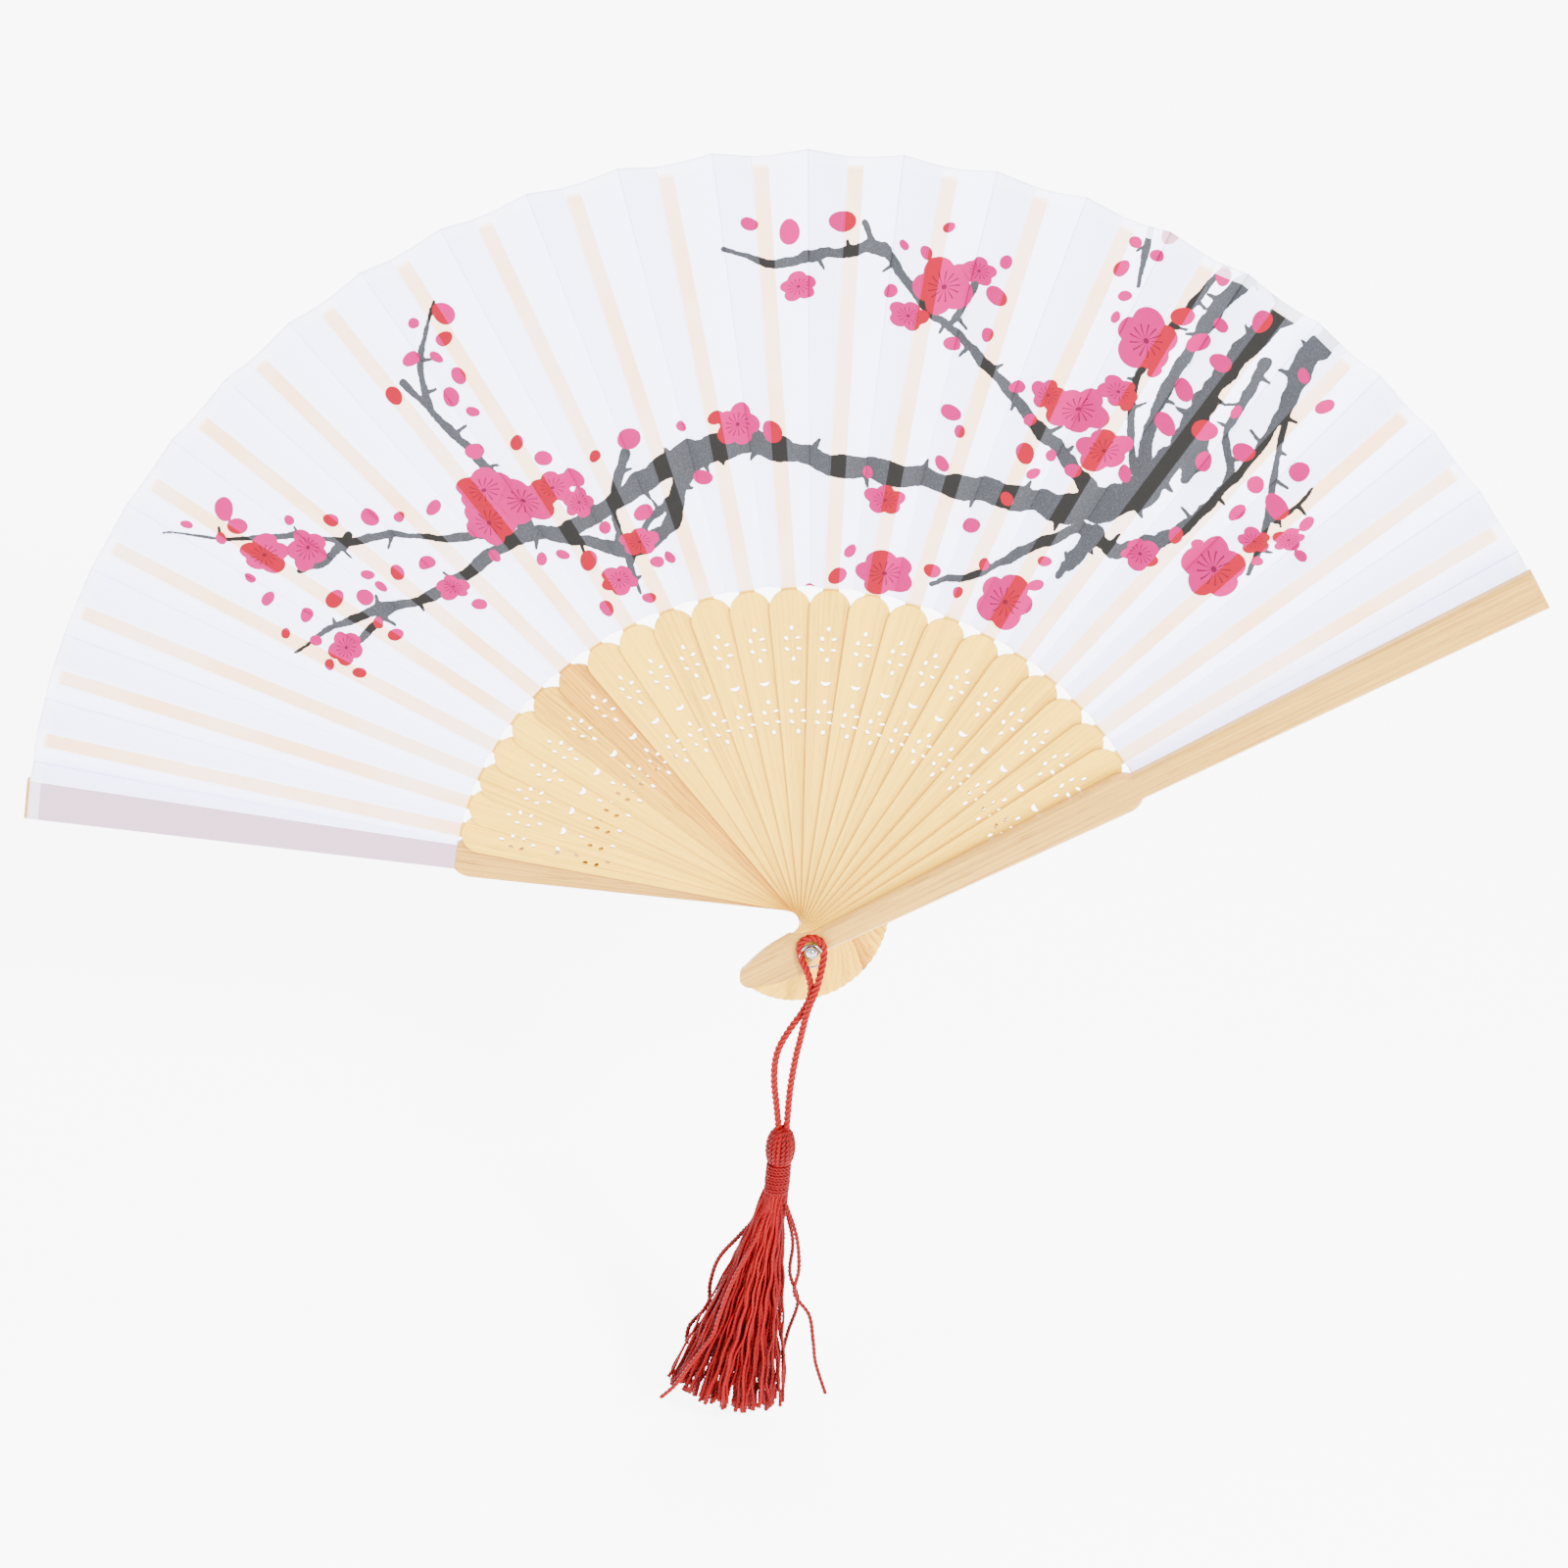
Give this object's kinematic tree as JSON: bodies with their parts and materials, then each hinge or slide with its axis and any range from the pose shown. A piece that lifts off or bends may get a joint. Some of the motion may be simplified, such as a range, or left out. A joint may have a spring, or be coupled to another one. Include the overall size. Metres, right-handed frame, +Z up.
{
  "type": "folding fan",
  "caption": "Hand-held folding fan: pierced bamboo ribs and two guards on a rivet, a pleated cloth leaf, and a red cord with a tassel.",
  "frame": {"origin": "on the rivet's axis, half-way through the stack of sticks, where a hand holds the fan", "axes": "+X to the right of the open fan as seen from its front, +Y from the front guard to the rear guard, along the rivet, +Z up through the middle of the leaf"},
  "size_m": [0.3601, 0.0467, 0.314],
  "materials": {
    "guard_bamboo": "satin, straight grain",
    "rib_bamboo": "satin, fine straight grain",
    "leaf_silk": "thin plain-woven cloth, a little translucent, printed",
    "rivet_metal": "bright",
    "ring_metal": "bright",
    "red_cord": "twisted cord",
    "tassel_thread": "soft twisted thread"
  },
  "bodies": {
    "front_guard": {"front_guard": "guard_bamboo", "rivet": "rivet_metal", "rivet_dome": "rivet_metal"},
    "rib_01": {"rib_01": "rib_bamboo", "leaf_pleat_01": "leaf_silk"},
    "rib_02": {"rib_02": "rib_bamboo", "leaf_pleat_02": "leaf_silk"},
    "rib_03": {"rib_03": "rib_bamboo", "leaf_pleat_03": "leaf_silk"},
    "rib_04": {"rib_04": "rib_bamboo", "leaf_pleat_04": "leaf_silk"},
    "rib_05": {"rib_05": "rib_bamboo", "leaf_pleat_05": "leaf_silk"},
    "rib_06": {"rib_06": "rib_bamboo", "leaf_pleat_06": "leaf_silk"},
    "rib_07": {"rib_07": "rib_bamboo", "leaf_pleat_07": "leaf_silk"},
    "rib_08": {"rib_08": "rib_bamboo", "leaf_pleat_08": "leaf_silk"},
    "rib_09": {"rib_09": "rib_bamboo", "leaf_pleat_09": "leaf_silk"},
    "rib_10": {"rib_10": "rib_bamboo", "leaf_pleat_10": "leaf_silk"},
    "rib_11": {"rib_11": "rib_bamboo", "leaf_pleat_11": "leaf_silk"},
    "rib_12": {"rib_12": "rib_bamboo", "leaf_pleat_12": "leaf_silk"},
    "rib_13": {"rib_13": "rib_bamboo", "leaf_pleat_13": "leaf_silk"},
    "rib_14": {"rib_14": "rib_bamboo", "leaf_pleat_14": "leaf_silk"},
    "rib_15": {"rib_15": "rib_bamboo", "leaf_pleat_15": "leaf_silk"},
    "rib_16": {"rib_16": "rib_bamboo", "leaf_pleat_16": "leaf_silk"},
    "rib_17": {"rib_17": "rib_bamboo", "leaf_pleat_17": "leaf_silk"},
    "rib_18": {"rib_18": "rib_bamboo", "leaf_pleat_18": "leaf_silk"},
    "rib_19": {"rib_19": "rib_bamboo", "leaf_pleat_19": "leaf_silk"},
    "rib_20": {"rib_20": "rib_bamboo", "leaf_pleat_20": "leaf_silk"},
    "rib_21": {"rib_21": "rib_bamboo", "leaf_pleat_21": "leaf_silk"},
    "rib_22": {"rib_22": "rib_bamboo", "leaf_pleat_22": "leaf_silk"},
    "rib_23": {"rib_23": "rib_bamboo", "leaf_pleat_23": "leaf_silk"},
    "rear_guard": {"rear_guard": "guard_bamboo", "leaf_pleat_24": "leaf_silk"},
    "tassel": {"wire_ring": "ring_metal", "cord": "red_cord", "tassel_head": "tassel_thread", "tassel_wrap": "tassel_thread", "tassel_skirt": "tassel_thread"}
  },
  "joints": [
    {"name": "fold", "type": "hinge", "parent": "front_guard", "child": "rib_01", "pos_m": [0, 0, 0], "axis": [0, 1, 0], "range_deg": [0, 5.05], "deforming": ["leaf_pleat_01"]},
    {"name": "fold_02", "type": "hinge", "parent": "rib_01", "child": "rib_02", "pos_m": [0, 0, 0], "axis": [0, 1, 0], "range_deg": [0, 5.26], "deforming": ["leaf_pleat_02"]},
    {"name": "fold_03", "type": "hinge", "parent": "rib_02", "child": "rib_03", "pos_m": [0, 0, 0], "axis": [0, 1, 0], "range_deg": [0, 5.46], "deforming": ["leaf_pleat_03"]},
    {"name": "fold_04", "type": "hinge", "parent": "rib_03", "child": "rib_04", "pos_m": [0, 0, 0], "axis": [0, 1, 0], "range_deg": [0, 5.66], "deforming": ["leaf_pleat_04"]},
    {"name": "fold_05", "type": "hinge", "parent": "rib_04", "child": "rib_05", "pos_m": [0, 0, 0], "axis": [0, 1, 0], "range_deg": [0, 5.84], "deforming": ["leaf_pleat_05"]},
    {"name": "fold_06", "type": "hinge", "parent": "rib_05", "child": "rib_06", "pos_m": [0, 0, 0], "axis": [0, 1, 0], "range_deg": [0, 6.01], "deforming": ["leaf_pleat_06"]},
    {"name": "fold_07", "type": "hinge", "parent": "rib_06", "child": "rib_07", "pos_m": [0, 0, 0], "axis": [0, 1, 0], "range_deg": [0, 6.15], "deforming": ["leaf_pleat_07"]},
    {"name": "fold_08", "type": "hinge", "parent": "rib_07", "child": "rib_08", "pos_m": [0, 0, 0], "axis": [0, 1, 0], "range_deg": [0, 6.28], "deforming": ["leaf_pleat_08"]},
    {"name": "fold_09", "type": "hinge", "parent": "rib_08", "child": "rib_09", "pos_m": [0, 0, 0], "axis": [0, 1, 0], "range_deg": [0, 6.39], "deforming": ["leaf_pleat_09"]},
    {"name": "fold_10", "type": "hinge", "parent": "rib_09", "child": "rib_10", "pos_m": [0, 0, 0], "axis": [0, 1, 0], "range_deg": [0, 6.47], "deforming": ["leaf_pleat_10"]},
    {"name": "fold_11", "type": "hinge", "parent": "rib_10", "child": "rib_11", "pos_m": [0, 0, 0], "axis": [0, 1, 0], "range_deg": [0, 6.52], "deforming": ["leaf_pleat_11"]},
    {"name": "fold_12", "type": "hinge", "parent": "rib_11", "child": "rib_12", "pos_m": [0, 0, 0], "axis": [0, 1, 0], "range_deg": [0, 6.55], "deforming": ["leaf_pleat_12"]},
    {"name": "fold_13", "type": "hinge", "parent": "rib_12", "child": "rib_13", "pos_m": [0, 0, 0], "axis": [0, 1, 0], "range_deg": [0, 6.55], "deforming": ["leaf_pleat_13"]},
    {"name": "fold_14", "type": "hinge", "parent": "rib_13", "child": "rib_14", "pos_m": [0, 0, 0], "axis": [0, 1, 0], "range_deg": [0, 6.52], "deforming": ["leaf_pleat_14"]},
    {"name": "fold_15", "type": "hinge", "parent": "rib_14", "child": "rib_15", "pos_m": [0, 0, 0], "axis": [0, 1, 0], "range_deg": [0, 6.47], "deforming": ["leaf_pleat_15"]},
    {"name": "fold_16", "type": "hinge", "parent": "rib_15", "child": "rib_16", "pos_m": [0, 0, 0], "axis": [0, 1, 0], "range_deg": [0, 6.39], "deforming": ["leaf_pleat_16"]},
    {"name": "fold_17", "type": "hinge", "parent": "rib_16", "child": "rib_17", "pos_m": [0, 0, 0], "axis": [0, 1, 0], "range_deg": [0, 6.28], "deforming": ["leaf_pleat_17"]},
    {"name": "fold_18", "type": "hinge", "parent": "rib_17", "child": "rib_18", "pos_m": [0, 0, 0], "axis": [0, 1, 0], "range_deg": [0, 6.15], "deforming": ["leaf_pleat_18"]},
    {"name": "fold_19", "type": "hinge", "parent": "rib_18", "child": "rib_19", "pos_m": [0, 0, 0], "axis": [0, 1, 0], "range_deg": [0, 6.01], "deforming": ["leaf_pleat_19"]},
    {"name": "fold_20", "type": "hinge", "parent": "rib_19", "child": "rib_20", "pos_m": [0, 0, 0], "axis": [0, 1, 0], "range_deg": [0, 5.84], "deforming": ["leaf_pleat_20"]},
    {"name": "fold_21", "type": "hinge", "parent": "rib_20", "child": "rib_21", "pos_m": [0, 0, 0], "axis": [0, 1, 0], "range_deg": [0, 5.66], "deforming": ["leaf_pleat_21"]},
    {"name": "fold_22", "type": "hinge", "parent": "rib_21", "child": "rib_22", "pos_m": [0, 0, 0], "axis": [0, 1, 0], "range_deg": [0, 5.46], "deforming": ["leaf_pleat_22"]},
    {"name": "fold_23", "type": "hinge", "parent": "rib_22", "child": "rib_23", "pos_m": [0, 0, 0], "axis": [0, 1, 0], "range_deg": [0, 5.26], "deforming": ["leaf_pleat_23"]},
    {"name": "fold_24", "type": "hinge", "parent": "rib_23", "child": "rear_guard", "pos_m": [0, 0, 0], "axis": [0, 1, 0], "range_deg": [0, 5.05], "deforming": ["leaf_pleat_24"]},
    {"name": "tassel_swing", "type": "hinge", "parent": "front_guard", "child": "tassel", "pos_m": [0, 0, 0], "axis": [0, 1, 0], "range_deg": [-60, 60]}
  ],
  "couplings": [
    {"joint": "fold_02", "follows": "fold", "ratio": 1.0411},
    {"joint": "fold_03", "follows": "fold", "ratio": 1.081},
    {"joint": "fold_04", "follows": "fold", "ratio": 1.1193},
    {"joint": "fold_05", "follows": "fold", "ratio": 1.1552},
    {"joint": "fold_06", "follows": "fold", "ratio": 1.188},
    {"joint": "fold_07", "follows": "fold", "ratio": 1.2173},
    {"joint": "fold_08", "follows": "fold", "ratio": 1.2425},
    {"joint": "fold_09", "follows": "fold", "ratio": 1.2632},
    {"joint": "fold_10", "follows": "fold", "ratio": 1.279},
    {"joint": "fold_11", "follows": "fold", "ratio": 1.2898},
    {"joint": "fold_12", "follows": "fold", "ratio": 1.2952},
    {"joint": "fold_13", "follows": "fold", "ratio": 1.2952},
    {"joint": "fold_14", "follows": "fold", "ratio": 1.2898},
    {"joint": "fold_15", "follows": "fold", "ratio": 1.279},
    {"joint": "fold_16", "follows": "fold", "ratio": 1.2632},
    {"joint": "fold_17", "follows": "fold", "ratio": 1.2425},
    {"joint": "fold_18", "follows": "fold", "ratio": 1.2173},
    {"joint": "fold_19", "follows": "fold", "ratio": 1.188},
    {"joint": "fold_20", "follows": "fold", "ratio": 1.1552},
    {"joint": "fold_21", "follows": "fold", "ratio": 1.1193},
    {"joint": "fold_22", "follows": "fold", "ratio": 1.081},
    {"joint": "fold_23", "follows": "fold", "ratio": 1.0411},
    {"joint": "fold_24", "follows": "fold", "ratio": 1}
  ]
}
